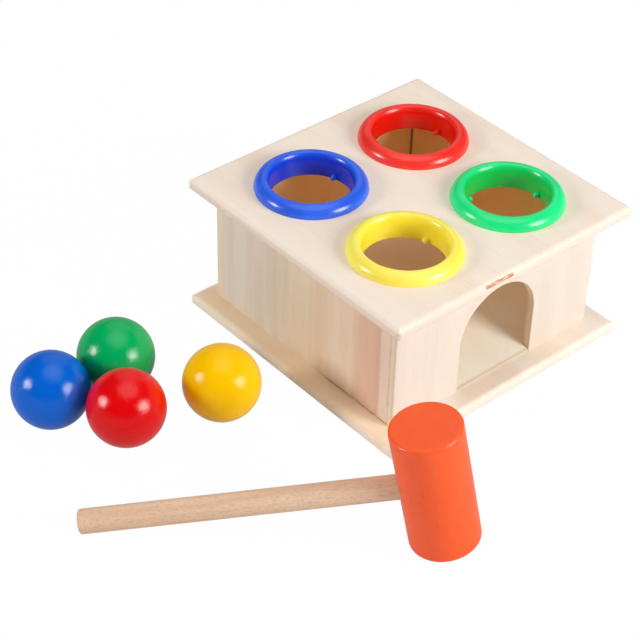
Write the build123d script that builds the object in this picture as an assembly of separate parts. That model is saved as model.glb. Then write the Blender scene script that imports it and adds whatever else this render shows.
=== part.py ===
from build123d import *
import math
import os

# Ball pounding bench: a plywood box with four ring seats, four balls and a hammer.
# Lengths are in millimetres. Z is up, the origin is the middle of the base board's underside,
# and the arched doorway faces -Y.

# Balls, the size that the rings, the boards and the walls follow
ball_diameter = 34.4

# Rings: a rounded rim on the board and a sleeve through it, with room for a ball to pass
ball_play = 1.4
rim_inner_roll = 2.1
rim_outer_roll = 5.0
rim_height = 5.1
ring_gap = 10.1
sleeve_wall = 1.7
sleeve_reach = 1.6
sleeve_clearance = 0.1
sleeve_arris = 0.4

# Nubs inside each ring that hold a ball until it is struck
nub_count = 3
nub_diameter = 2.6
nub_grip = 1.2
nub_lift = 0.2

# Top and base boards, with the margin outside the rings
board_margin = 13.55
board_thickness = 5.0
board_upper_round = 2.6
board_lower_arris = 1.2
board_corner_radius = 2.2

# Walls between the boards, with how far the boards stand out past them
wall_height = 60.0
wall_thickness = 3.8
wall_arris = 0.6
side_overhang = 10.0
front_overhang = 11.0
back_overhang = 8.0
right_wall_gap = 1.0

# Arched doorway in the front wall, open down to the base board
arch_width = 45.0
arch_header_height = 12.4
arch_offset = 1.1
arch_arris = 0.4

# Ramp inside, from a low lip in the doorway up to the back wall, with room for a ball under the back rings
ramp_thickness = 3.0
ramp_lip_height = 1.0
ramp_side_clearance = 0.3
ramp_ball_room = 3.8

# Places of the balls on the table, measured outwards from the boards' left edge
lone_ball_standoff = 19.4
lone_ball_y = -0.6
ball_trio_standoff = 7.6
ball_trio_y = 32.1
ball_trio_turn = 1.6
ball_gap = 0.4

# Hammer, leaning on its head's lower rim and on the far end of its handle
head_diameter = 30.0
head_length = 60.5
head_arris = 1.2
handle_diameter = 10.4
handle_reach = 130.0
handle_arris = 0.8
socket_depth = 22.0
socket_clearance = 0.05
socket_floor_gap = 0.5
hammer_standoff_x = 15.0
hammer_standoff_y = 49.2
hammer_turn = 48.5

# How far cutting bodies run past the faces that they cut
cut_overrun = 2.0

# Sizes and places worked out from the values above
ball_radius = ball_diameter / 2
bore_radius = ball_radius + ball_play
sleeve_radius = bore_radius + sleeve_wall
crest_radius = bore_radius + rim_inner_roll
rim_radius = crest_radius + rim_outer_roll
ring_spacing = 2 * rim_radius + ring_gap
board_side = ring_spacing + 2 * (rim_radius + board_margin)
floor_top = board_thickness
walls_top = floor_top + wall_height
lid_top = walls_top + board_thickness
sleeve_bottom = walls_top - sleeve_reach
outer_left = -board_side / 2 + side_overhang
outer_right = board_side / 2 - side_overhang
outer_front = -board_side / 2 + front_overhang
outer_back = board_side / 2 - back_overhang
inner_front = outer_front + wall_thickness
inner_back = outer_back - wall_thickness
inner_left = outer_left + wall_thickness
inner_right = outer_right - wall_thickness
ramp_front = outer_front + arch_arris
head_radius = head_diameter / 2
handle_radius = handle_diameter / 2
lone_ball_x = -board_side / 2 - lone_ball_standoff - ball_radius
ball_trio_x = lone_ball_x - ball_diameter - ball_trio_standoff

# Each ring: the side of the box that it is on along X and Y, and the turn of its first nub
ring_places = {
    "ring_red": (1, 1, 8.0),
    "ring_blue": (-1, 1, 15.0),
    "ring_green": (1, -1, -3.0),
    "ring_yellow": (-1, -1, 17.0),
}

# The three balls that lie together, by their direction from the middle of the trio
trio_directions = {"ball_blue": 150.0, "ball_green": 30.0, "ball_red": -90.0}


def ring_centre(name):
    side_x, side_y, _ = ring_places[name]
    return side_x * ring_spacing / 2, side_y * ring_spacing / 2


def square_slab():
    return Box(board_side, board_side, board_thickness, align=(Align.CENTER, Align.CENTER, Align.MIN))


def slab_rounded_on_two_sides():
    slab = square_slab()
    slab = fillet(slab.edges().filter_by(Axis.Y).group_by(Axis.Z)[-1], board_upper_round)
    return fillet(slab.edges().filter_by(Axis.Y).group_by(Axis.Z)[0], board_lower_arris)


def board_blank():
    # The rounded upper edges meet in a mitre line at each corner
    two_sides = slab_rounded_on_two_sides()
    rounded_corners = fillet(square_slab().edges().filter_by(Axis.Z), board_corner_radius)
    return two_sides & Rot(0, 0, 90) * two_sides & rounded_corners


def base_board():
    return board_blank()


def top_board():
    board = Pos(0, 0, walls_top) * board_blank()
    for name in ring_places:
        x, y = ring_centre(name)
        hole_height = board_thickness + 2 * cut_overrun
        hole = Cylinder(sleeve_radius + sleeve_clearance, hole_height)
        board -= Pos(x, y, walls_top + board_thickness / 2) * hole
    return board


def wall_blank(low_x, high_x, low_y, high_y):
    blank = Box(high_x - low_x, high_y - low_y, wall_height, align=Align.MIN)
    return Pos(low_x, low_y, floor_top) * blank


def rounded_outer_corners(wall, outer_y):
    upright_edges = wall.edges().filter_by(Axis.Z)
    corners = upright_edges.filter_by(lambda edge: abs(edge.center().Y - outer_y) < wall_arris)
    return fillet(corners, wall_arris)


def arch_cutter():
    radius = arch_width / 2
    depth = wall_thickness + 2 * cut_overrun
    spring_z = walls_top - arch_header_height - radius
    jamb_height = spring_z - floor_top + cut_overrun
    door = Box(arch_width, depth, jamb_height, align=(Align.CENTER, Align.CENTER, Align.MAX))
    half_disc = Cylinder(radius, depth, arc_size=180, align=(Align.CENTER, Align.MIN, Align.CENTER))
    crown = Rot(90, 0, 0) * half_disc
    return Pos(arch_offset, outer_front + wall_thickness / 2, spring_z) * (door + crown)


def is_doorway_edge(edge):
    place = edge.center()
    beside_doorway = abs(place.X - arch_offset) < arch_width / 2 + arch_arris
    return beside_doorway and place.Z < walls_top - arch_header_height / 2


def front_wall():
    wall = wall_blank(outer_left, outer_right, outer_front, inner_front)
    wall = rounded_outer_corners(wall, outer_front)
    wall -= arch_cutter()
    outer_face = wall.faces().sort_by(Axis.Y)[0]
    return fillet(outer_face.edges().filter_by(is_doorway_edge), arch_arris)


def back_wall():
    wall = wall_blank(outer_left, outer_right, inner_back, outer_back)
    return rounded_outer_corners(wall, outer_back)


def left_wall():
    return wall_blank(outer_left, inner_left, inner_front, inner_back)


def right_wall():
    # Cut a little short, which leaves a thin open joint at the back corner
    return wall_blank(inner_right, outer_right, inner_front, inner_back - right_wall_gap)


def ramp_tilt():
    # Slope that leaves the named room between a ball resting under a back ring and the ring's sleeve
    run = ring_spacing / 2 - ramp_front
    rise = sleeve_bottom - ramp_ball_room - ball_radius - floor_top - ramp_lip_height
    return math.acos(ball_radius / math.hypot(run, rise)) - math.atan2(run, rise)


def ramp_plan():
    # Full width between the walls, with a tongue that fills the foot of the doorway
    body = wall_blank(inner_left, inner_right, inner_front, inner_back)
    tongue_left = arch_offset - arch_width / 2 + ramp_side_clearance
    tongue_right = arch_offset + arch_width / 2 - ramp_side_clearance
    return body + wall_blank(tongue_left, tongue_right, ramp_front, inner_front)


def ramp_board():
    slope = math.tan(ramp_tilt())
    upright_thickness = ramp_thickness / math.cos(ramp_tilt())
    front_top = floor_top + ramp_lip_height
    back_top = front_top + (inner_back - ramp_front) * slope
    toe_end = ramp_front + (upright_thickness - ramp_lip_height) / slope
    outline = Polyline(
        (ramp_front, floor_top),
        (toe_end, floor_top),
        (inner_back, back_top - upright_thickness),
        (inner_back, back_top),
        (ramp_front, front_top),
        close=True,
    )
    board = extrude(Plane.YZ * make_face(outline), inner_right - inner_left)
    return Pos(inner_left, 0, 0) * board & ramp_plan()


def ring_profile():
    crest = (crest_radius, lid_top)
    inner_curve = EllipticalCenterArc(crest, rim_inner_roll, rim_height, 90, arc_size=90)
    outer_curve = EllipticalCenterArc(crest, rim_outer_roll, rim_height, 0, arc_size=90)
    straight_sides = Polyline(
        (rim_radius, lid_top),
        (sleeve_radius, lid_top),
        (sleeve_radius, sleeve_bottom),
        (bore_radius, sleeve_bottom),
        (bore_radius, lid_top),
    )
    return Plane.XZ * make_face(outer_curve + inner_curve + straight_sides)


def ring_blank():
    blank = revolve(ring_profile(), Axis.Z)
    lower_edges = blank.edges().group_by(Axis.Z)[0]
    return fillet(lower_edges, sleeve_arris)


def nub():
    nub_radius = nub_diameter / 2
    root = bore_radius + sleeve_wall / 2
    tip_centre = ball_radius - nub_grip + nub_radius
    shank = Cylinder(nub_radius, root - tip_centre, align=(Align.CENTER, Align.CENTER, Align.MIN))
    rounded_pin = Rot(0, 90, 0) * shank + Sphere(nub_radius)
    return Pos(tip_centre, 0, sleeve_bottom + nub_lift + nub_radius) * rounded_pin


def ring(name):
    first_turn = ring_places[name][2]
    body = ring_blank()
    for index in range(nub_count):
        turn = first_turn + index * 360 / nub_count
        body += Rot(0, 0, turn) * nub()
    x, y = ring_centre(name)
    return Pos(x, y, 0) * body


def trio_ball(name):
    spread = (ball_diameter + ball_gap) / math.sqrt(3)
    direction = math.radians(trio_directions[name] + ball_trio_turn)
    x = ball_trio_x + spread * math.cos(direction)
    y = ball_trio_y + spread * math.sin(direction)
    return Pos(x, y, ball_radius) * Sphere(ball_radius)


def lone_ball():
    return Pos(lone_ball_x, lone_ball_y, ball_radius) * Sphere(ball_radius)


def hammer_tilt():
    # Leaning angle at which the head's rounded rim and the handle's rounded end both touch the table
    rise = head_length / 2 - (handle_radius - handle_arris) - head_arris
    run = head_radius + handle_reach - handle_arris - (head_radius - head_arris)
    reach = math.hypot(rise, run)
    return math.atan2(rise, run) + math.asin((head_arris - handle_arris) / reach)


def hammer_place():
    tilt = hammer_tilt()
    rim_run = head_radius - head_arris
    x = -board_side / 2 - hammer_standoff_x
    y = -board_side / 2 - hammer_standoff_y
    z = head_arris * (1 - math.cos(tilt)) + rim_run * math.sin(tilt)
    return Pos(x, y, z) * Rot(0, 0, 90 + hammer_turn) * Rot(0, math.degrees(tilt), 0)


def hammer_head():
    head = Cylinder(head_radius, head_length, align=(Align.CENTER, Align.CENTER, Align.MIN))
    head = fillet(head.edges().filter_by(GeomType.CIRCLE), head_arris)
    socket_radius = handle_radius + socket_clearance
    socket_length = socket_depth + cut_overrun
    socket = Cylinder(socket_radius, socket_length, align=(Align.CENTER, Align.CENTER, Align.MIN))
    head -= Pos(head_radius - socket_depth, 0, head_length / 2) * Rot(0, 90, 0) * socket
    return hammer_place() * head


def hammer_handle():
    inner_end = head_radius - socket_depth + socket_floor_gap
    length = head_radius + handle_reach - inner_end
    handle = Cylinder(handle_radius, length, align=(Align.CENTER, Align.CENTER, Align.MIN))
    handle = fillet(handle.edges().filter_by(GeomType.CIRCLE), handle_arris)
    return hammer_place() * Pos(inner_end, 0, head_length / 2) * Rot(0, 90, 0) * handle


pieces = {
    "base_board": base_board(),
    "top_board": top_board(),
    "front_wall": front_wall(),
    "back_wall": back_wall(),
    "left_wall": left_wall(),
    "right_wall": right_wall(),
    "ramp_board": ramp_board(),
    "ball_yellow": lone_ball(),
    "hammer_head": hammer_head(),
    "hammer_handle": hammer_handle(),
}
for ring_name in ring_places:
    pieces[ring_name] = ring(ring_name)
for ball_name in trio_directions:
    pieces[ball_name] = trio_ball(ball_name)

os.makedirs("parts", exist_ok=True)
for node, shape in pieces.items():
    export_step(shape, f"parts/{node}.step")
    print(node, "volume", round(shape.volume, 1))
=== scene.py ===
import math
import bpy
from mathutils import Matrix, Vector


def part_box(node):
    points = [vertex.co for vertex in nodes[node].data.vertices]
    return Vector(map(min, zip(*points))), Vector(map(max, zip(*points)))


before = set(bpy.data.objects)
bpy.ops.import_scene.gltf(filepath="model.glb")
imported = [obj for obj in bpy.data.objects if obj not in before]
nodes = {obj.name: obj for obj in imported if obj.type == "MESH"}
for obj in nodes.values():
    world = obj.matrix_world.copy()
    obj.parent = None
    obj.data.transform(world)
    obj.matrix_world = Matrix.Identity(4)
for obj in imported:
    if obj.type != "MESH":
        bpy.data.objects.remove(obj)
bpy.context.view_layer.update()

print("bench loaded with", len(nodes), "pieces")

mm = 0.001


# camera, solved from the edges of the box and the outlines of the rings
photoCamera = {
    "turn": -41.53,
    "rise": 38.729,
    "roll": 1.665,
    "distance": 863.437 * mm,
    "alongRight": -38.74 * mm,
    "alongUp": -29.08 * mm,
    "aimHeight": 35.0 * mm,
    "lens": 106.895,
    "sensor": 36.0,
    "clipStart": 10 * mm,
}


def placeCamera(look):
    turn, rise, roll = (math.radians(look[key]) for key in ("turn", "rise", "roll"))
    back = Vector((math.sin(turn) * math.cos(rise), -math.cos(turn) * math.cos(rise), math.sin(rise)))
    level = Vector((math.cos(turn), math.sin(turn), 0))
    upright = back.cross(level)
    right = math.cos(roll) * level + math.sin(roll) * upright
    up = math.cos(roll) * upright - math.sin(roll) * level
    place = back * look["distance"] + right * look["alongRight"] + up * look["alongUp"]
    place.z += look["aimHeight"]
    data = bpy.data.cameras.new("photoCamera")
    data.lens = look["lens"]
    data.sensor_width = look["sensor"]
    data.clip_start = look["clipStart"]
    camera = bpy.data.objects.new("photoCamera", data)
    camera.matrix_world = Matrix((
        (right.x, up.x, back.x, place.x),
        (right.y, up.y, back.y, place.y),
        (right.z, up.z, back.z, place.z),
        (0, 0, 0, 1),
    ))
    bpy.context.collection.objects.link(camera)
    bpy.context.scene.camera = camera


placeCamera(photoCamera)
bpy.context.scene.view_settings.view_transform = "Standard"
print("camera placed")


# node helpers
def addNode(tree, kind, place, inputs=None, **settings):
    node = tree.nodes.new(kind)
    node.location = place
    for key, value in settings.items():
        setattr(node, key, value)
    for key, value in (inputs or {}).items():
        if isinstance(value, bpy.types.NodeSocket):
            tree.links.new(value, node.inputs[key])
        else:
            node.inputs[key].default_value = value
    return node


def calc(tree, operation, place, first, second=None, third=None, clamp=False):
    given = {index: value for index, value in enumerate((first, second, third)) if value is not None}
    return addNode(tree, "ShaderNodeMath", place, given, operation=operation, use_clamp=clamp).outputs[0]


def multiply(tree, first, second, place):
    return calc(tree, "MULTIPLY", place, first, second)


# how far a value is from a middle, on either side
def awayFrom(tree, value, middle, place):
    return calc(tree, "ABSOLUTE", place, calc(tree, "SUBTRACT", (place[0] - 150, place[1]), value, middle))


# a soft step, from outLow at the first end to outHigh at the second
def span(tree, value, ends, place, outLow=0.0, outHigh=1.0):
    given = {"Value": value, "From Min": ends[0], "From Max": ends[1], "To Min": outLow, "To Max": outHigh}
    return addNode(tree, "ShaderNodeMapRange", place, given, interpolation_type="SMOOTHSTEP").outputs[0]


def blendColour(tree, factor, first, second, place, way="MIX"):
    given = {0: factor, 6: first, 7: second}
    return addNode(tree, "ShaderNodeMix", place, given, data_type="RGBA", blend_type=way).outputs[2]


def vectorMath(tree, operation, place, first, second=None):
    given = {0: first} if second is None else {0: first, 1: second}
    return addNode(tree, "ShaderNodeVectorMath", place, given, operation=operation).outputs


def scaled(tree, vector, factors, place):
    return vectorMath(tree, "MULTIPLY", place, vector, factors)[0]


def combine(tree, place, **axes):
    return addNode(tree, "ShaderNodeCombineXYZ", place, axes).outputs[0]


def noise(tree, vector, scale, place, detail=2.0, roughness=0.5):
    given = {"Vector": vector, "Scale": scale, "Detail": detail, "Roughness": roughness}
    return addNode(tree, "ShaderNodeTexNoise", place, given).outputs["Fac"]


def stretchedNoise(tree, vector, stretch, scale, place, detail=2.0):
    return noise(tree, scaled(tree, vector, stretch, (place[0] - 200, place[1])), scale, place, detail)


def startGroup(name, inputs, outputs):
    group = bpy.data.node_groups.new(name, "ShaderNodeTree")
    for label, kind, value in inputs:
        socket = group.interface.new_socket(label, in_out="INPUT", socket_type="NodeSocket" + kind)
        if value is not None:
            socket.default_value = value
    for label, kind in outputs:
        group.interface.new_socket(label, in_out="OUTPUT", socket_type="NodeSocket" + kind)
    entry = group.nodes.new("NodeGroupInput")
    entry.location = (-1400, 0)
    leave = group.nodes.new("NodeGroupOutput")
    leave.location = (900, 0)
    return group, entry.outputs, leave.inputs


def useGroup(tree, group, place, inputs):
    return addNode(tree, "ShaderNodeGroup", place, inputs, node_tree=group).outputs


def startMaterial(name):
    material = bpy.data.materials.new(name)
    material.use_nodes = True
    tree = material.node_tree
    shader = tree.nodes["Principled BSDF"]
    shader.location = (600, 0)
    tree.nodes["Material Output"].location = (900, 0)
    coords = addNode(tree, "ShaderNodeTexCoord", (-1500, 0)).outputs["Object"]
    return material, tree, shader, coords


def addBump(tree, shader, height, distance, strength, place):
    given = {"Height": height, "Distance": distance, "Strength": strength}
    bump = addNode(tree, "ShaderNodeBump", place, given)
    tree.links.new(bump.outputs[0], shader.inputs["Normal"])


def wear(nodeName, material):
    for slot in nodes[nodeName].material_slots:
        slot.material = material


def srgb(red, green, blue):
    def one(value):
        value /= 255
        return value / 12.92 if value <= 0.04045 else ((value + 0.055) / 1.055) ** 2.4
    return (one(red), one(green), one(blue), 1.0)


# straight-grained timber, the grain runs along the vector's Z
grainLook = {
    "seedStep": (0.37, 0.61, 0.23),
    "swayScale": 14.0,
    "sway": 6 * mm,
    "bandStretch": (1, 1, 0.05),
    "fibreStretch": (1, 1, 0.02),
    "poreStretch": (1, 1, 0.09),
    "bandEnds": (0.36, 0.66),
    "poreEnds": (0.62, 0.74),
    "poreDent": 0.5,
}


def swayed(tree, vector):
    amount = noise(tree, vector, grainLook["swayScale"], (-1200, 300), 1.0)
    shift = calc(tree, "MULTIPLY_ADD", (-1000, 300), amount, grainLook["sway"], -grainLook["sway"] / 2)
    return vectorMath(tree, "ADD", (-700, 200), vector, combine(tree, (-850, 300), X=shift, Y=shift))[0]


def makeTimber():
    group, given, result = startGroup("timber", (
        ("Vector", "Vector", None),
        ("Pale", "Color", srgb(240, 222, 200)),
        ("Warm", "Color", srgb(230, 205, 176)),
        ("Pore", "Color", srgb(180, 140, 105)),
        ("Band Scale", "Float", 90.0),
        ("Fibre Scale", "Float", 1400.0),
        ("Fibre Depth", "Float", 0.05),
        ("Pore Scale", "Float", 700.0),
        ("Pore Amount", "Float", 0.3),
    ), (("Color", "Color"), ("Height", "Float"), ("Band", "Float")))
    vector = swayed(group, given["Vector"])
    bands = stretchedNoise(group, vector, grainLook["bandStretch"], given["Band Scale"], (-300, 300), 3.0)
    fibres = stretchedNoise(group, vector, grainLook["fibreStretch"], given["Fibre Scale"], (-300, 100))
    pores = stretchedNoise(group, vector, grainLook["poreStretch"], given["Pore Scale"], (-300, -100), 1.0)
    bandMask = span(group, bands, grainLook["bandEnds"], (-100, 300))
    poreMask = span(group, pores, grainLook["poreEnds"], (-100, -100))
    colour = blendColour(group, bandMask, given["Pale"], given["Warm"], (100, 300))
    fibreTone = calc(group, "SUBTRACT", (-100, 50), fibres, 0.5)
    fibreDepth = calc(group, "MULTIPLY_ADD", (50, 50), fibreTone, given["Fibre Depth"], 1.0)
    grey = combine(group, (200, 50), X=fibreDepth, Y=fibreDepth, Z=fibreDepth)
    colour = blendColour(group, 1.0, colour, grey, (300, 250), "MULTIPLY")
    poreShare = multiply(group, poreMask, given["Pore Amount"], (50, -100))
    colour = blendColour(group, poreShare, colour, given["Pore"], (500, 200))
    dent = multiply(group, poreMask, grainLook["poreDent"], (150, -250))
    group.links.new(colour, result["Color"])
    group.links.new(calc(group, "SUBTRACT", (300, -150), fibres, dent), result["Height"])
    group.links.new(bandMask, result["Band"])
    return group


# three plies seen on a sheet's edge, by how far through its thickness a point lies
plyLook = {
    "wobbleScale": 160.0,
    "wobble": 0.06,
    "coreEnds": (0.24, 0.20),
    "glueMiddle": 0.225,
    "glueEnds": (0.03, 0.0),
    "fleckStretch": (1, 1, 3),
    "fleckScale": 900.0,
    "fleckEnds": (0.35, 0.7),
    "fleckShare": 0.35,
    "tornAndShadeEnds": (0.22, 0.13),
    "breakScale": 420.0,
    "breakEnds": (0.42, 0.62),
    "breakLeast": 0.35,
    "tornAndShade": srgb(116, 88, 66),
}


# dark broken line along the first ply: partly a torn ply, partly painted shade along a board's lower arris
def tornAndShadeShare(tree, vector, share, amount):
    lowest = span(tree, share, plyLook["tornAndShadeEnds"], (0, -500))
    spots = noise(tree, vector, plyLook["breakScale"], (-300, -600))
    breaks = span(tree, spots, plyLook["breakEnds"], (-100, -600), plyLook["breakLeast"])
    return multiply(tree, multiply(tree, lowest, breaks, (200, -500)), amount, (350, -500))


def makePlies():
    group, given, result = startGroup("plies", (
        ("Depth", "Float", 0.0),
        ("Thickness", "Float", 5 * mm),
        ("Vector", "Vector", None),
        ("Veneer", "Color", srgb(240, 222, 200)),
        ("Core", "Color", srgb(222, 190, 160)),
        ("Glue", "Color", srgb(170, 130, 100)),
        ("Glue Amount", "Float", 0.5),
        ("Torn And Shade Amount", "Float", 0.0),
    ), (("Color", "Color"),))
    vector = given["Vector"]
    wobble = noise(group, vector, plyLook["wobbleScale"], (-1200, -200))
    shift = calc(group, "MULTIPLY_ADD", (-1000, -200), wobble, plyLook["wobble"], -plyLook["wobble"] / 2)
    share = calc(group, "DIVIDE", (-1000, 100), given["Depth"], given["Thickness"])
    share = calc(group, "ADD", (-850, 100), share, shift)
    fromMiddle = awayFrom(group, share, 0.5, (-550, 100))
    core = span(group, fromMiddle, plyLook["coreEnds"], (-350, 100))
    fromGlue = awayFrom(group, fromMiddle, plyLook["glueMiddle"], (-350, -100))
    glue = span(group, fromGlue, plyLook["glueEnds"], (-200, -100))
    glue = multiply(group, glue, given["Glue Amount"], (0, -100))
    flecks = stretchedNoise(group, vector, plyLook["fleckStretch"], plyLook["fleckScale"], (-300, -350))
    coreTone = span(group, flecks, plyLook["fleckEnds"], (-100, -350), 0.0, plyLook["fleckShare"])
    coreColour = blendColour(group, coreTone, given["Core"], given["Veneer"], (150, -250))
    colour = blendColour(group, core, given["Veneer"], coreColour, (350, 100))
    colour = blendColour(group, glue, colour, given["Glue"], (550, 50))
    tornAndShade = tornAndShadeShare(group, vector, share, given["Torn And Shade Amount"])
    group.links.new(blendColour(group, tornAndShade, colour, plyLook["tornAndShade"], (700, 0)), result["Color"])
    return group


# edges, found by comparing a rounded normal with the face's own: used for rubbed and sanded edges and for
# painted edge highlights
rubLook = {
    "samples": 6,
    "facingEnds": (0.985, 0.86),
    "patchScale": 350.0,
    "patchEnds": (0.35, 0.65),
}


def makeEdgeRub():
    group, given, result = startGroup("edgeRub", (
        ("Width", "Float", 0.6 * mm),
        ("Vector", "Vector", None),
        ("Patchiness", "Float", 0.5),
    ), (("Mask", "Float"),))
    radius = {"Radius": given["Width"]}
    bevel = addNode(group, "ShaderNodeBevel", (-1000, 100), radius, samples=rubLook["samples"])
    flat = addNode(group, "ShaderNodeNewGeometry", (-1000, -100)).outputs["True Normal"]
    facing = vectorMath(group, "DOT_PRODUCT", (-800, 0), bevel.outputs[0], flat)["Value"]
    edge = span(group, facing, rubLook["facingEnds"], (-600, 0))
    spots = noise(group, given["Vector"], rubLook["patchScale"], (-800, -250), 3.0)
    patches = span(group, spots, rubLook["patchEnds"], (-600, -250))
    lost = calc(group, "SUBTRACT", (-500, -350), patches, 1.0)
    kept = calc(group, "MULTIPLY_ADD", (-400, -250), lost, given["Patchiness"], 1.0)
    group.links.new(multiply(group, edge, kept, (-200, 0)), result["Mask"])
    return group


# brushed or dipped paint over sanded wood
skinLook = {
    "cloudScale": 70.0,
    "cloudEnds": (0.35, 0.7),
    "cloudShare": 0.25,
    "dimpleScale": 900.0,
    "glossSpread": 0.14,
}


def makePaintSkin():
    group, given, result = startGroup("paintSkin", (
        ("Vector", "Vector", None),
        ("Paint", "Color", srgb(200, 40, 40)),
        ("Thin", "Color", srgb(220, 80, 70)),
        ("Grain", "Float", 0.5),
        ("Grain Depth", "Float", 0.2),
        ("Gloss", "Float", 0.35),
    ), (("Color", "Color"), ("Roughness", "Float"), ("Height", "Float")))
    clouds = noise(group, given["Vector"], skinLook["cloudScale"], (-1000, 300), 3.0)
    dimples = noise(group, given["Vector"], skinLook["dimpleScale"], (-1000, 0))
    cloudShare = span(group, clouds, skinLook["cloudEnds"], (-800, 300), 0.0, skinLook["cloudShare"])
    grainShare = multiply(group, given["Grain"], given["Grain Depth"], (-600, 100))
    both = calc(group, "ADD", (-300, 250), cloudShare, grainShare, clamp=True)
    glossLow = calc(group, "SUBTRACT", (-450, -200), given["Gloss"], skinLook["glossSpread"] / 2)
    rough = calc(group, "MULTIPLY_ADD", (-300, -100), dimples, skinLook["glossSpread"], glossLow)
    group.links.new(blendColour(group, both, given["Paint"], given["Thin"], (-100, 250)), result["Color"])
    group.links.new(rough, result["Roughness"])
    group.links.new(calc(group, "ADD", (-200, -300), dimples, grainShare), result["Height"])
    return group


# inner faces of the box, found by their place between the boards and walls
insideFade = (0.4 * mm, 0.15 * mm)        # from none to full, by the depth below an inner face


def makeInside():
    group, given, result = startGroup("inside", (
        ("Vector", "Vector", None),
        ("Room", "Vector", None),
        ("Middle", "Vector", None),
    ), (("Mask", "Float"),))
    offset = vectorMath(group, "SUBTRACT", (-1200, 0), given["Vector"], given["Middle"])[0]
    reach = vectorMath(group, "ABSOLUTE", (-1050, 0), offset)[0]
    past = vectorMath(group, "SUBTRACT", (-900, 0), reach, given["Room"])[0]
    sides = addNode(group, "ShaderNodeSeparateXYZ", (-750, 0), {0: past}).outputs
    furthest = calc(group, "MAXIMUM", (-650, -150), sides[1], sides[2])
    furthest = calc(group, "MAXIMUM", (-550, 0), sides[0], furthest)
    group.links.new(span(group, furthest, insideFade, (-350, 0)), result["Mask"])
    return group


timber = makeTimber()
plies = makePlies()
edgeRub = makeEdgeRub()
paintSkin = makePaintSkin()
inside = makeInside()
print("finish groups built")


# the space between the boards and walls, whose faces are left raw and tinted warmer and deeper, partly raw
# wood and partly painted shade of the closed box
roomLow = Vector((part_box("left_wall")[1].x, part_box("front_wall")[1].y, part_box("base_board")[1].z))
roomHigh = Vector((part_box("right_wall")[0].x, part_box("back_wall")[0].y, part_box("top_board")[0].z))
room = {
    "middle": (roomLow + roomHigh) / 2,
    "halfSize": (roomHigh - roomLow) / 2,
    "rawAndShade": srgb(252, 211, 132),
    "lightPasses": 8,
}
bpy.context.scene.cycles.diffuse_bounces = room["lightPasses"]

# what every plywood sheet has in common
plywoodLook = {
    "roughness": 0.5,
    "roughSpread": 0.14,
    "specular": 0.3,
    "bumpDepth": 0.12 * mm,
    "tornAndShadeAmount": 0.0,
    "rawAndShadeShare": 0.75,
    "streakWaver": 0.03,
    "waverScale": 220.0,
    "waverStretch": (1, 1, 0.12),
}


# where a sheet's plies start and how thick it is, along one axis
def sheetAcross(name, axis, fromHigh=False):
    low, high = (corner[axis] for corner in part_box(name))
    start, end = (high, low) if fromHigh else (low, high)
    return {"depthAxis": axis, "depthFrom": start, "thickness": end - start}


def grainVector(tree, coords, along, seed, place):
    turns = {"Y": (math.radians(90), 0, 0), "Z": (0, 0, 0)}
    shift = [seed * step for step in grainLook["seedStep"]]
    given = {"Vector": coords, "Rotation": turns[along], "Location": shift}
    return addNode(tree, "ShaderNodeMapping", place, given).outputs[0]


# long colour changes across a sheet, by named places in millimetres
def addStreaks(tree, axes, colour, look):
    low, high = look["streakSpan"]
    given = {"Value": axes[look["streakAxis"]], "From Min": low * mm, "From Max": high * mm}
    place = addNode(tree, "ShaderNodeMapRange", (-1000, 600), given).outputs[0]
    face = combine(tree, (-1200, 800), Y=axes[1], Z=axes[2])
    waver = stretchedNoise(tree, face, look["waverStretch"], look["waverScale"], (-900, 800), 3.0)
    waver = calc(tree, "SUBTRACT", (-700, 800), waver, 0.5)
    place = calc(tree, "MULTIPLY_ADD", (-800, 600), waver, look["streakWaver"], place)
    ramp = addNode(tree, "ShaderNodeValToRGB", (-600, 600), {"Fac": place})
    stops = ramp.color_ramp.elements
    while len(stops) < len(look["streaks"]):
        stops.new(0.5)
    for stop, (at, tint) in zip(stops, look["streaks"]):
        stop.position = (at - low) / (high - low)
        stop.color = tint
    return blendColour(tree, 1.0, colour, ramp.outputs[0], (-300, 500), "MULTIPLY")


def addPlies(tree, axes, coords, colour, look):
    depth = calc(tree, "SUBTRACT", (-1000, -200), axes[look["depthAxis"]], look["depthFrom"])
    return useGroup(tree, plies, (-700, 0), {
        "Depth": depth, "Thickness": look["thickness"], "Vector": coords, "Veneer": colour,
        "Core": look["core"], "Glue": look["glue"], "Glue Amount": look["glueAmount"],
        "Torn And Shade Amount": look["tornAndShadeAmount"],
    })["Color"]


# paler along edges: partly sanded wear, partly a painted highlight on the arris
def addRubAndHighlight(tree, coords, colour, look):
    rub = useGroup(tree, edgeRub, (-700, -350), {"Width": look["rubWidth"], "Vector": coords})["Mask"]
    rub = multiply(tree, rub, look["rubAndHighlightAmount"], (-500, -350))
    return blendColour(tree, rub, colour, look["rubbedAndHighlit"], (-250, 0))


# inner faces: raw wood tint deepened into painted shade, where little light reaches inside the box
def addRawAndShadedInside(tree, coords, colour, look):
    given = {"Vector": coords, "Room": room["halfSize"], "Middle": room["middle"]}
    shadedWithin = useGroup(tree, inside, (-700, -550), given)["Mask"]
    rawAndShade = blendColour(tree, look["rawAndShadeShare"], colour, room["rawAndShade"], (-250, -500))
    return blendColour(tree, shadedWithin, colour, rawAndShade, (-50, 0))


# painted shade: dark brown inside the joint that stands open at the back of the right wall
def addOpenJointShade(tree, axes, colour, joint):
    reach = (joint["end"] - joint["start"]) / 2
    fromMiddle = awayFrom(tree, axes[1], (joint["start"] + joint["end"]) / 2, (-300, -1300))
    inSpan = span(tree, fromMiddle, (reach, reach - joint["blur"]), (-100, -1300))
    inSide = span(tree, axes[0], (joint["side"] - joint["sideBlur"], joint["side"]), (-100, -1500))
    mask = multiply(tree, inSpan, inSide, (50, -1400))
    return blendColour(tree, mask, colour, joint["dark"], (250, -1300))
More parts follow.
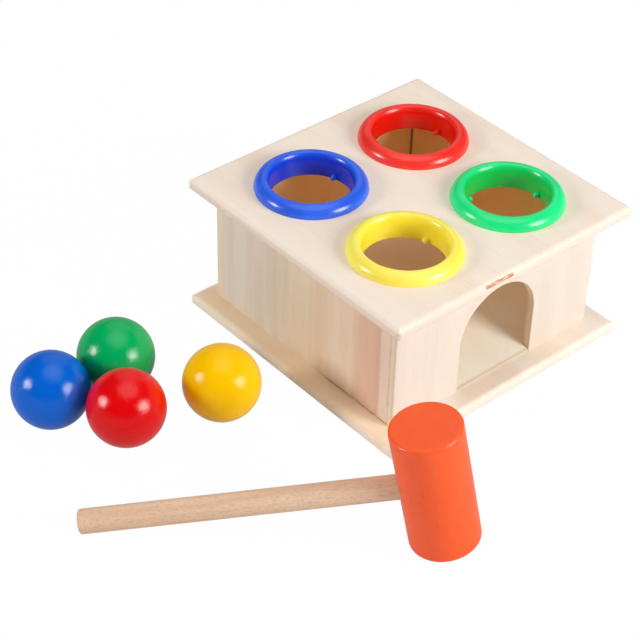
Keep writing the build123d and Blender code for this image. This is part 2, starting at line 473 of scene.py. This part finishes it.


# painted shade: a thin dark broken line where the front half of a wall meets the base board
def addFootShadeLine(tree, axes, coords, colour, line):
    top = line["foot"] + line["height"]
    low = span(tree, axes[2], (top, top - line["height"] / 2), (-300, -1700))
    along = span(tree, axes[1], (line["fadeTo"], line["fadeFrom"]), (-300, -1900))
    spots = noise(tree, coords, line["breakScale"], (-500, -2100))
    breaks = span(tree, spots, line["breakEnds"], (-300, -2100), line["breakLeast"])
    mask = multiply(tree, multiply(tree, low, along, (-100, -1700)), breaks, (0, -1800))
    return blendColour(tree, mask, colour, line["dark"], (250, -1700))


# a darker filled patch with ragged ends in the core ply of the front edge
def addCorePatch(tree, axes, coords, colour, patch):
    ragged = noise(tree, coords, patch["raggedScale"], (-800, -700))
    ragged = calc(tree, "MULTIPLY_ADD", (-650, -700), ragged, patch["ragged"], -patch["ragged"] / 2)
    raggedUp = multiply(tree, ragged, patch["raggedUpShare"], (-650, -950))
    along = awayFrom(tree, calc(tree, "ADD", (-550, -600), axes[0], ragged), patch["middle"], (-300, -600))
    up = awayFrom(tree, calc(tree, "ADD", (-550, -850), axes[2], raggedUp), patch["height"], (-300, -800))
    halfLength, halfDepth = patch["length"] / 2, patch["depth"] / 2
    inLength = span(tree, along, (halfLength, halfLength - patch["endBlur"]), (-100, -600))
    inDepth = span(tree, up, (halfDepth, halfDepth - patch["sideBlur"]), (-100, -800))
    inFront = span(tree, axes[1], patch["frontEnds"], (-100, -1000))
    mask = multiply(tree, multiply(tree, inLength, inDepth, (0, -650)), inFront, (50, -700))
    grain = stretchedNoise(tree, coords, patch["grainStretch"], patch["grainScale"], (-150, -1100))
    tone = span(tree, grain, patch["grainEnds"], (0, -1100))
    filled = blendColour(tree, tone, patch["dark"], patch["light"], (150, -1000))
    return blendColour(tree, mask, colour, filled, (250, -400))


# a plywood sheet: grain on its faces, plies on its edges, paler along its edges, partly as sanding and
# partly as a painted highlight
def plywood(name, look):
    look = {**plywoodLook, **look}
    material, tree, shader, coords = startMaterial(name)
    axes = addNode(tree, "ShaderNodeSeparateXYZ", (-1250, -200), {0: coords}).outputs
    veneer = useGroup(tree, timber, (-1000, 300), {
        "Vector": grainVector(tree, coords, look["grainAlong"], look["seed"], (-1250, 200)),
        "Pale": look["pale"], "Warm": look["warm"], "Pore": look["pore"], "Band Scale": look["bandScale"],
        "Fibre Depth": look["fibreDepth"], "Pore Amount": look["poreAmount"],
    })
    colour, grain = veneer["Color"], veneer["Height"]
    if "streaks" in look:
        colour = addStreaks(tree, axes, colour, look)
    if "depthAxis" in look:
        colour = addPlies(tree, axes, coords, colour, look)
    colour = addRubAndHighlight(tree, coords, colour, look)
    colour = addRawAndShadedInside(tree, coords, colour, look)
    if "openJointShade" in look:
        colour = addOpenJointShade(tree, axes, colour, look["openJointShade"])
    if "footShadeLine" in look:
        colour = addFootShadeLine(tree, axes, coords, colour, look["footShadeLine"])
    if "corePatch" in look:
        colour = addCorePatch(tree, axes, coords, colour, look["corePatch"])
    rough = calc(tree, "MULTIPLY_ADD", (100, -150), grain, look["roughSpread"], look["roughness"])
    tree.links.new(colour, shader.inputs["Base Color"])
    tree.links.new(rough, shader.inputs["Roughness"])
    shader.inputs["Specular IOR Level"].default_value = look["specular"]
    addBump(tree, shader, grain, look["bumpDepth"], look["bump"], (350, -300))
    return material


# top board, with a filled patch over the doorway
topBoardLook = {
    "grainAlong": "Y",
    "seed": 1.0,
    "pale": srgb(245, 230, 214),
    "warm": srgb(241, 221, 200),
    "pore": srgb(212, 180, 150),
    "bandScale": 55.0,
    "fibreDepth": 0.05,
    "poreAmount": 0.12,
    "core": srgb(238, 216, 200),
    "glue": srgb(214, 186, 162),
    "glueAmount": 0.35,
    "tornAndShadeAmount": 0.5,
    "rubWidth": 0.6 * mm,
    "rubAndHighlightAmount": 0.45,
    "rubbedAndHighlit": srgb(250, 241, 230),
    "bump": 0.25,
    "corePatch": {
        "middle": -12.5 * mm,
        "length": 17.0 * mm,
        "height": 68.4 * mm,
        "depth": 2.0 * mm,
        "frontEnds": (-68.5 * mm, -69.2 * mm),
        "raggedScale": 500.0,
        "ragged": 1.2 * mm,
        "raggedUpShare": 0.4,
        "endBlur": 0.6 * mm,
        "sideBlur": 0.4 * mm,
        "grainStretch": (0.3, 1, 2),
        "grainScale": 700.0,
        "grainEnds": (0.35, 0.65),
        "dark": srgb(186, 124, 88),
        "light": srgb(236, 198, 168),
    },
    **sheetAcross("top_board", 2),
}
wear("top_board", plywood("topBoardPly", topBoardLook))

# base board, warmer along its left edge as painted shade beside the left wall
baseBoardLook = {
    "grainAlong": "Y",
    "seed": 2.3,
    "pale": srgb(252, 242, 229),
    "warm": srgb(248, 231, 212),
    "pore": srgb(214, 186, 156),
    "bandScale": 60.0,
    "fibreDepth": 0.05,
    "poreAmount": 0.15,
    "core": srgb(237, 226, 213),
    "glue": srgb(212, 190, 168),
    "glueAmount": 0.35,
    "tornAndShadeAmount": 0.4,
    "rubWidth": 0.6 * mm,
    "rubAndHighlightAmount": 0.25,
    "rubbedAndHighlit": srgb(247, 236, 222),
    "bump": 0.25,
    "streakAxis": 0,
    "streakSpan": (-70, 70),
    # painted shade: warmer and darker on the strip beside the left wall
    "streaks": (
        (-70, srgb(255, 255, 248)),
        (-69.5, srgb(252, 241, 222)),
        (-60, srgb(252, 241, 220)),
        (-56, srgb(255, 255, 255)),
        (70, srgb(255, 255, 255)),
    ),
    **sheetAcross("base_board", 2),
}
wear("base_board", plywood("baseBoardPly", baseBoardLook))

# front wall, with the doorway
frontWallLook = {
    "grainAlong": "Z",
    "seed": 3.1,
    "pale": srgb(230, 217, 203),
    "warm": srgb(227, 211, 195),
    "pore": srgb(202, 172, 148),
    "bandScale": 80.0,
    "fibreDepth": 0.06,
    "poreAmount": 0.12,
    "core": srgb(242, 219, 188),
    "glue": srgb(196, 156, 120),
    "glueAmount": 0.35,
    "tornAndShadeAmount": 0.3,
    "rubWidth": 0.5 * mm,
    "rubAndHighlightAmount": 0.3,
    "rubbedAndHighlit": srgb(246, 232, 216),
    "bump": 0.3,
    **sheetAcross("front_wall", 1, fromHigh=True),
}
wear("front_wall", plywood("frontWallPly", frontWallLook))

# the joint that stands open between the right wall's end and the back wall, painted dark brown as its shade
openJointShade = {
    "start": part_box("right_wall")[1].y - 0.7 * mm,
    "end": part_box("back_wall")[0].y + 0.5 * mm,
    "blur": 0.7 * mm,
    "side": roomHigh.x - 0.1 * mm,
    "sideBlur": 0.1 * mm,
    "dark": srgb(176, 116, 74),
}

# back wall
backWallLook = {
    **frontWallLook,
    "seed": 5.7,
    "pale": srgb(241, 222, 200),
    "warm": srgb(234, 209, 183),
    "tornAndShadeAmount": 0.0,
    "openJointShade": openJointShade,
    **sheetAcross("back_wall", 1),
}
wear("back_wall", plywood("backWallPly", backWallLook))

# what the two side walls have in common
sideWallLook = {
    "grainAlong": "Z",
    "pale": srgb(241, 225, 209),
    "warm": srgb(235, 214, 195),
    "pore": srgb(200, 168, 142),
    "bandScale": 110.0,
    "fibreDepth": 0.09,
    "poreAmount": 0.11,
    "core": srgb(222, 190, 160),
    "glue": srgb(180, 140, 108),
    "glueAmount": 0.5,
    "rubWidth": 0.5 * mm,
    "rubAndHighlightAmount": 0.25,
    "rubbedAndHighlit": srgb(244, 228, 210),
    "bump": 0.3,
    "streakAxis": 1,
    "streakSpan": (-56, 59),
}

# left wall, with a pink heart streak near the front
leftWallLook = {
    **sideWallLook,
    "seed": 4.2,
    "streaks": (
        (-56, srgb(252, 250, 248)),
        (-50.5, srgb(252, 250, 246)),
        (-48.5, srgb(238, 214, 203)),
        (-37, srgb(242, 221, 210)),
        (-31, srgb(252, 250, 246)),
        (-20, srgb(252, 250, 244)),
        (-8, srgb(248, 244, 234)),
        (8, srgb(248, 246, 238)),
        (24, srgb(246, 250, 250)),
        (59, srgb(248, 252, 255)),
    ),
    # painted shade along the foot of the wall's front half
    "footShadeLine": {
        "foot": roomLow.z,
        "height": 0.6 * mm,
        "fadeFrom": -22.0 * mm,
        "fadeTo": -6.0 * mm,
        "breakScale": 260.0,
        "breakEnds": (0.35, 0.6),
        "breakLeast": 0.4,
        "dark": srgb(132, 94, 66),
    },
    **sheetAcross("left_wall", 0),
}
wear("left_wall", plywood("leftWallPly", leftWallLook))

# right wall, streaked like the left one but from back to front
streakSum = sum(sideWallLook["streakSpan"])
rightWallLook = {
    **sideWallLook,
    "seed": 6.9,
    "streaks": tuple((streakSum - at, tint) for at, tint in reversed(leftWallLook["streaks"])),
    "openJointShade": openJointShade,
    **sheetAcross("right_wall", 0),
}
wear("right_wall", plywood("rightWallPly", rightWallLook))

# ramp inside, down to the doorway, with painted shade: a darker front edge and seam, and a warmer part
# towards the back of the box
rampLook = {
    "grainAlong": "Y",
    "seed": 8.4,
    "pale": srgb(250, 244, 228),
    "warm": srgb(248, 239, 221),
    "pore": srgb(222, 200, 172),
    "bandScale": 50.0,
    "fibreDepth": 0.04,
    "poreAmount": 0.1,
    "rubWidth": 0.5 * mm,
    "rubAndHighlightAmount": 0.2,
    "rubbedAndHighlit": srgb(247, 236, 222),
    "bump": 0.2,
    "rawAndShadeShare": 0.0,
    "streakAxis": 1,
    "streakSpan": (-59, 59),
    "streakWaver": 0.0,
    # painted shade: darker front face and seam, warmer towards the back
    "streaks": (
        (-59, srgb(210, 200, 186)),
        (-58.5, srgb(216, 206, 193)),
        (-58.2, srgb(248, 243, 236)),
        (-57.8, srgb(240, 234, 226)),
        (-57.4, srgb(255, 255, 255)),
        (-40, srgb(255, 255, 255)),
        (-8, srgb(255, 246, 222)),
        (59, srgb(255, 246, 222)),
    ),
}
wear("ramp_board", plywood("rampPly", rampLook))
print("plywood finished")


# rings: glossy moulded plastic, each with its deep colour, its bright one and a deeper one inside its bore
# as painted shade
ringLook = {
    "colours": {
        "ring_red": (srgb(240, 44, 30), srgb(247, 56, 44), srgb(228, 8, 0)),
        "ring_blue": (srgb(38, 92, 226), srgb(48, 104, 238), srgb(0, 56, 210)),
        "ring_green": (srgb(22, 224, 128), srgb(32, 236, 142), srgb(0, 200, 82)),
        "ring_yellow": (srgb(255, 234, 88), srgb(255, 242, 102), srgb(255, 236, 60)),
    },
    "specular": 0.6,
    "roughness": 0.25,
    "roughSpread": 0.08,
    "rubRough": 0.1,
    "rubWidth": 0.3 * mm,
    "reach": (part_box("ring_red")[0].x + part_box("ring_red")[1].x) / 2,
    "crestRadius": 20.4 * mm,
    "boreRadius": 18.6 * mm,
    "nubRadius": 18.1 * mm,
    "nubShare": 0.15,
    "flowScale": 60.0,
    "flowEnds": (0.35, 0.65),
    "skinScale": 1500.0,
    "bumpDepth": 0.05 * mm,
    "bump": 0.06,
}


# inner wall of the ring that a point is on, but not the small nubs that stand out from it; there the colour
# is painted deeper as shade
def addBoreShadeMask(tree, coords):
    reach = (ringLook["reach"], ringLook["reach"], 0)
    mirrored = vectorMath(tree, "ABSOLUTE", (-1300, 500), coords)[0]
    offset = vectorMath(tree, "SUBTRACT", (-1150, 500), mirrored, reach)[0]
    radius = vectorMath(tree, "LENGTH", (-850, 500), scaled(tree, offset, (1, 1, 0), (-1000, 500)))["Value"]
    inward = span(tree, radius, (ringLook["crestRadius"], ringLook["boreRadius"]), (-700, 500))
    wallEnds = (ringLook["nubRadius"], ringLook["boreRadius"])
    wall = span(tree, radius, wallEnds, (-700, 700), ringLook["nubShare"])
    return multiply(tree, inward, wall, (-500, 600))


def ringPlastic(name, deep, bright, shadedWithin):
    material, tree, shader, coords = startMaterial(name)
    flow = noise(tree, coords, ringLook["flowScale"], (-1100, 200))
    flow = span(tree, flow, ringLook["flowEnds"], (-900, 200))
    skin = noise(tree, coords, ringLook["skinScale"], (-1100, -100))
    rub = useGroup(tree, edgeRub, (-1100, -350), {"Width": ringLook["rubWidth"], "Vector": coords})["Mask"]
    colour = blendColour(tree, flow, deep, bright, (-600, 200))
    colour = blendColour(tree, addBoreShadeMask(tree, coords), colour, shadedWithin, (-400, 300))
    lowest = ringLook["roughness"] - ringLook["roughSpread"] / 2
    rough = calc(tree, "MULTIPLY_ADD", (-500, -100), skin, ringLook["roughSpread"], lowest)
    rough = calc(tree, "MULTIPLY_ADD", (-300, -150), rub, ringLook["rubRough"], rough)
    tree.links.new(colour, shader.inputs["Base Color"])
    tree.links.new(rough, shader.inputs["Roughness"])
    shader.inputs["Specular IOR Level"].default_value = ringLook["specular"]
    addBump(tree, shader, skin, ringLook["bumpDepth"], ringLook["bump"], (200, -300))
    return material


for ringName, ringColours in ringLook["colours"].items():
    wear(ringName, ringPlastic(ringName.replace("ring_", "") + "Plastic", *ringColours))
print("rings finished")


# balls: turned wood dipped in satin paint, each with its paint, its thin paint and its shine
ballLook = {
    "colours": {
        "ball_blue": (srgb(0, 97, 208), srgb(0, 106, 214), 0.45),
        "ball_green": (srgb(0, 174, 92), srgb(0, 182, 102), 0.45),
        "ball_red": (srgb(230, 2, 8), srgb(236, 14, 18), 0.5),
        "ball_yellow": (srgb(255, 198, 0), srgb(255, 207, 0), 0.25),
    },
    "firstSeed": 1.5,
    "bandScale": 180.0,
    "gloss": 0.1,
    "grainDepth": 0.12,
    "peelScale": 1300.0,
    "peelRoughness": 0.7,
    "peelWeight": 1.5,
    "bumpDepth": 0.1 * mm,
    "bump": 0.75,
}


def ballPaint(name, seed, paint, thin, specular):
    material, tree, shader, coords = startMaterial(name)
    vector = grainVector(tree, coords, "Z", seed, (-1300, 200))
    wood = useGroup(tree, timber, (-1100, 300), {"Vector": vector, "Band Scale": ballLook["bandScale"]})
    skin = useGroup(tree, paintSkin, (-800, 200), {
        "Vector": vector, "Paint": paint, "Thin": thin, "Grain": wood["Band"],
        "Grain Depth": ballLook["grainDepth"], "Gloss": ballLook["gloss"],
    })
    peel = noise(tree, coords, ballLook["peelScale"], (-600, -300), 2.0, ballLook["peelRoughness"])
    height = calc(tree, "MULTIPLY_ADD", (-300, -300), peel, ballLook["peelWeight"], skin["Height"])
    tree.links.new(skin["Color"], shader.inputs["Base Color"])
    tree.links.new(skin["Roughness"], shader.inputs["Roughness"])
    shader.inputs["Specular IOR Level"].default_value = specular
    addBump(tree, shader, height, ballLook["bumpDepth"], ballLook["bump"], (200, -300))
    return material


for number, (ballName, ballColours) in enumerate(ballLook["colours"].items()):
    seed = ballLook["firstSeed"] + number
    wear(ballName, ballPaint(ballName.replace("ball_", "") + "Paint", seed, *ballColours))
print("balls finished")


# how the hammer lies
hammerPlace = {
    "turn": 138.5,
    "tilt": 10.877,
    "foot": (-85.0 * mm, -119.2 * mm, 0.0),
}


# the vector's Z runs along the head and its X along the handle
def hammerVector(tree, coords, place):
    turned = (0, math.radians(hammerPlace["tilt"]), math.radians(hammerPlace["turn"]))
    given = {"Vector": coords, "Location": hammerPlace["foot"], "Rotation": turned}
    return addNode(tree, "ShaderNodeMapping", place, given, vector_type="TEXTURE").outputs[0]


# hammer head: painted wood, rubbed to bare or dark wood in places along its rims
headLook = {
    "paint": srgb(255, 88, 24),
    "thin": srgb(255, 98, 36),
    "bare": srgb(255, 176, 120),
    "dark": srgb(186, 62, 30),
    "gloss": 0.31,
    "specular": 0.55,
    "sheen": 0.1,
    "sheenRoughness": 0.35,
    "bandScale": 260.0,
    "dentScale": 500.0,
    "grainDepth": 0.35,
    "poreStretch": (1, 1, 0.16),
    "poreScale": 1500.0,
    "poreEnds": (0.6, 0.72),
    "poreShare": 0.22,
    "rimWidth": 0.7 * mm,
    "rimPatchiness": 0.85,
    "rimScale": 70.0,
    "rimEnds": (0.46, 0.54),
    "rimShare": 0.6,
    "bumpDepth": 0.06 * mm,
    "bump": 0.1,
}


def addRim(tree, vector, colour):
    given = {"Width": headLook["rimWidth"], "Vector": vector, "Patchiness": headLook["rimPatchiness"]}
    rub = useGroup(tree, edgeRub, (-800, -200), given)["Mask"]
    rub = multiply(tree, rub, headLook["rimShare"], (-500, -200))
    spots = noise(tree, vector, headLook["rimScale"], (-800, -500), 1.0)
    tone = span(tree, spots, headLook["rimEnds"], (-600, -500))
    rim = blendColour(tree, tone, headLook["dark"], headLook["bare"], (-450, -500))
    return blendColour(tree, rub, colour, rim, (-200, 200))


def hammerPaint():
    material, tree, shader, coords = startMaterial("hammerPaint")
    vector = hammerVector(tree, coords, (-1300, 200))
    wood = useGroup(tree, timber, (-1100, 300), {
        "Vector": vector, "Band Scale": headLook["bandScale"], "Pore Scale": headLook["dentScale"],
    })
    skin = useGroup(tree, paintSkin, (-800, 200), {
        "Vector": vector, "Paint": headLook["paint"], "Thin": headLook["thin"],
        "Grain": wood["Band"], "Grain Depth": headLook["grainDepth"], "Gloss": headLook["gloss"],
    })
    pores = stretchedNoise(tree, vector, headLook["poreStretch"], headLook["poreScale"], (-650, 600), 1.0)
    poreShare = span(tree, pores, headLook["poreEnds"], (-500, 600), 0.0, headLook["poreShare"])
    colour = blendColour(tree, poreShare, skin["Color"], headLook["dark"], (-400, 300))
    tree.links.new(addRim(tree, vector, colour), shader.inputs["Base Color"])
    tree.links.new(skin["Roughness"], shader.inputs["Roughness"])
    shader.inputs["Specular IOR Level"].default_value = headLook["specular"]
    shader.inputs["Sheen Weight"].default_value = headLook["sheen"]
    shader.inputs["Sheen Roughness"].default_value = headLook["sheenRoughness"]
    height = calc(tree, "ADD", (-100, -300), skin["Height"], wood["Height"])
    addBump(tree, shader, height, headLook["bumpDepth"], headLook["bump"], (200, -300))
    return material


# hammer handle: a plain beech dowel, darker on the end grain
handleLook = {
    "pale": srgb(233, 199, 168),
    "warm": srgb(224, 184, 152),
    "pore": srgb(176, 126, 92),
    "bandScale": 240.0,
    "fibreScale": 1800.0,
    "fibreDepth": 0.14,
    "poreScale": 1500.0,
    "poreAmount": 0.12,
    "fleck": srgb(204, 160, 126),
    "fleckStretch": (1, 1, 0.4),
    "fleckScale": 1700.0,
    "fleckEnds": (0.45, 0.7),
    "fleckShare": 0.5,
    "endGrain": srgb(196, 150, 120),
    "endPlace": (144.3 * mm, 144.8 * mm),
    "endShare": 0.5,
    "roughness": 0.5,
    "roughSpread": 0.2,
    "specular": 0.3,
    "bumpDepth": 0.12 * mm,
    "bump": 0.4,
}


def handleBeech():
    material, tree, shader, coords = startMaterial("handleBeech")
    vector = hammerVector(tree, coords, (-1400, 200))
    given = {"Vector": vector, "Rotation": (0, math.radians(-90), 0)}
    along = addNode(tree, "ShaderNodeMapping", (-1200, 200), given).outputs[0]
    wood = useGroup(tree, timber, (-1000, 300), {
        "Vector": along, "Pale": handleLook["pale"], "Warm": handleLook["warm"], "Pore": handleLook["pore"],
        "Band Scale": handleLook["bandScale"], "Fibre Scale": handleLook["fibreScale"],
        "Fibre Depth": handleLook["fibreDepth"], "Pore Scale": handleLook["poreScale"],
        "Pore Amount": handleLook["poreAmount"],
    })
    flecks = stretchedNoise(tree, along, handleLook["fleckStretch"], handleLook["fleckScale"], (-800, -100))
    fleckShare = span(tree, flecks, handleLook["fleckEnds"], (-600, -100), 0.0, handleLook["fleckShare"])
    colour = blendColour(tree, fleckShare, wood["Color"], handleLook["fleck"], (-200, 200))
    reach = addNode(tree, "ShaderNodeSeparateXYZ", (-1000, 600), {0: vector}).outputs[0]
    endShare = span(tree, reach, handleLook["endPlace"], (-800, 600), 0.0, handleLook["endShare"])
    colour = blendColour(tree, endShare, colour, handleLook["endGrain"], (0, 200))
    spread, roughness = handleLook["roughSpread"], handleLook["roughness"]
    rough = calc(tree, "MULTIPLY_ADD", (-200, -250), wood["Height"], spread, roughness)
    tree.links.new(colour, shader.inputs["Base Color"])
    tree.links.new(rough, shader.inputs["Roughness"])
    shader.inputs["Specular IOR Level"].default_value = handleLook["specular"]
    addBump(tree, shader, wood["Height"], handleLook["bumpDepth"], handleLook["bump"], (200, -300))
    return material


wear("hammer_head", hammerPaint())
wear("hammer_handle", handleBeech())
print("hammer finished")


# floor: a pale sheet that curves up far behind, seen as white but still catching the shadow
floorLook = {
    "flatRadius": 2.2,
    "sweepRadius": 0.5,
    "sweepSteps": 12,
    "sides": 96,
    "below": 0.1 * mm,
    "pale": srgb(238, 238, 238),
    "paler": srgb(240, 240, 240),
    "fibreScale": 400.0,
    "fibreEnds": (0.3, 0.7),
    "whiteShare": 0.985,
    "glossyShare": 0.35,
}


def floorMesh(look):
    profile = [(look["flatRadius"], 0.0)]
    for step in range(1, look["sweepSteps"] + 1):
        turn = math.radians(90 * step / look["sweepSteps"])
        radius = look["flatRadius"] + look["sweepRadius"] * math.sin(turn)
        profile.append((radius, look["sweepRadius"] * (1 - math.cos(turn))))
    points = [(0, 0, -look["below"])]
    for radius, height in profile:
        for side in range(look["sides"]):
            angle = 2 * math.pi * side / look["sides"]
            points.append((radius * math.cos(angle), radius * math.sin(angle), height - look["below"]))
    faces = []
    for side in range(look["sides"]):
        after = (side + 1) % look["sides"]
        faces.append((0, 1 + side, 1 + after))
        for ring in range(look["sweepSteps"]):
            low = 1 + ring * look["sides"]
            high = low + look["sides"]
            faces.append((low + side, high + side, high + after, low + after))
    mesh = bpy.data.meshes.new("floor")
    mesh.from_pydata(points, [], faces)
    mesh.shade_smooth()
    return mesh


def floorPaper(look):
    material = bpy.data.materials.new("paleSweep")
    material.use_nodes = True
    tree = material.node_tree
    tree.nodes.clear()
    paper = addNode(tree, "ShaderNodeTexCoord", (-900, 200)).outputs["Object"]
    fibres = noise(tree, paper, look["fibreScale"], (-700, 200), 3.0)
    fibres = span(tree, fibres, look["fibreEnds"], (-500, 200))
    tone = blendColour(tree, fibres, look["pale"], look["paler"], (-300, 200))
    matt = addNode(tree, "ShaderNodeBsdfDiffuse", (0, 100), {"Color": tone}).outputs[0]
    rays = addNode(tree, "ShaderNodeLightPath", (-700, -200)).outputs
    mirrored = calc(tree, "MAXIMUM", (-500, -350), rays["Is Glossy Ray"], rays["Is Transmission Ray"])
    glossy = look["glossyShare"]
    strength = calc(tree, "MULTIPLY_ADD", (-300, -100), rays["Is Camera Ray"], 1.0 - glossy, glossy)
    shining = {"Color": (1, 1, 1, 1), "Strength": strength}
    white = addNode(tree, "ShaderNodeEmission", (0, -100), shining).outputs[0]
    seen = calc(tree, "MAXIMUM", (-400, -300), rays["Is Camera Ray"], mirrored)
    share = multiply(tree, seen, look["whiteShare"], (-300, -300))
    mixed = addNode(tree, "ShaderNodeMixShader", (250, 0), {0: share, 1: matt, 2: white}).outputs[0]
    addNode(tree, "ShaderNodeOutputMaterial", (450, 0), {"Surface": mixed})
    return material


def makeFloor(look):
    mesh = floorMesh(look)
    mesh.materials.append(floorPaper(look))
    floor = bpy.data.objects.new("floor", mesh)
    bpy.context.collection.objects.link(floor)


makeFloor(floorLook)


# soft lamps, each given by its direction and by its share of full light on a face turned to it
lampLook = {
    "aim": (-45 * mm, -20 * mm, 30 * mm),
    "lamps": {
        "key": {"turn": -68.5, "rise": 24.3, "distance": 1.25, "size": 0.58, "share": 0.77},
        "fill": {"turn": 150.6, "rise": 22.8, "distance": 1.4, "size": 0.34, "share": 0.4},
        "overhead": {"turn": 0.0, "rise": 88.6, "distance": 0.77, "size": 0.75, "share": 0.28},
        "behind": {"turn": 48.5, "rise": 38.7, "distance": 1.4, "size": 1.3, "share": 0.1},
    },
}


def placeLamp(name, look):
    turn, rise = math.radians(look["turn"]), math.radians(look["rise"])
    towards = Vector((math.cos(turn) * math.cos(rise), math.sin(turn) * math.cos(rise), math.sin(rise)))
    data = bpy.data.lights.new(name, "AREA")
    data.shape = "DISK"
    data.size = look["size"]
    data.energy = look["share"] * math.pi ** 2 * look["distance"] ** 2
    lamp = bpy.data.objects.new(name, data)
    lamp.location = Vector(lampLook["aim"]) + towards * look["distance"]
    lamp.rotation_euler = towards.to_track_quat("Z", "Y").to_euler()
    lamp.visible_camera = False
    bpy.context.collection.objects.link(lamp)


for lampName, lamp in lampLook["lamps"].items():
    placeLamp(lampName, lamp)


# an even room: white to the camera, grey as a light, and dim in glossy surfaces
roomLight = {"strength": 0.28, "mirroredStrength": 0.03}


def makeRoomLight(look):
    world = bpy.data.worlds.new("room")
    world.use_nodes = True
    tree = world.node_tree
    background = tree.nodes["Background"]
    background.inputs["Color"].default_value = (1, 1, 1, 1)
    rays = addNode(tree, "ShaderNodeLightPath", (-700, 0)).outputs
    plain, mirrored = look["strength"], look["mirroredStrength"]
    seen = calc(tree, "MULTIPLY_ADD", (-450, 100), rays["Is Camera Ray"], 1.0 - plain, plain)
    strength = calc(tree, "MULTIPLY_ADD", (-250, 0), rays["Is Glossy Ray"], mirrored - plain, seen)
    tree.links.new(strength, background.inputs["Strength"])
    bpy.context.scene.world = world


makeRoomLight(roomLight)
print("floor and lamps placed")
